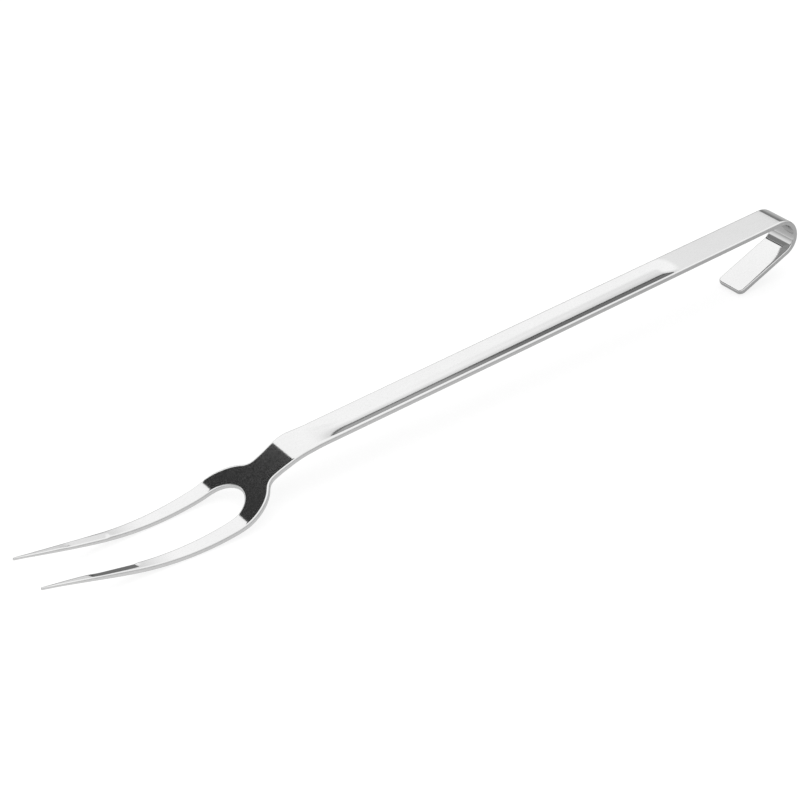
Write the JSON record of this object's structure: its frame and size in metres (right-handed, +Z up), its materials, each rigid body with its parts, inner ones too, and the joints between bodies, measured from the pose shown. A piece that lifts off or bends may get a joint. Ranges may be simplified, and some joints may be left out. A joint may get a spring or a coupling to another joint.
{
  "type": "meat fork",
  "caption": "One-piece steel cooking fork: long flat handle with a pressed channel, stepped neck, upcurved tines and a bent hanging hook.",
  "frame": {"origin": "middle of the bounding box in X and Y, on the flat surface that the fork lies on", "axes": "+X from the tine tips to the hook, along the length; +Y across the width, the two tines mirror each other in Y = 0; +Z up from the surface the fork lies on"},
  "size_m": [0.4482, 0.0458, 0.0334],
  "materials": {
    "polished_steel": "mirror-polished stainless steel, bare metal"
  },
  "bodies": {
    "root": {"fork_body": "polished_steel"}
  },
  "joints": []
}
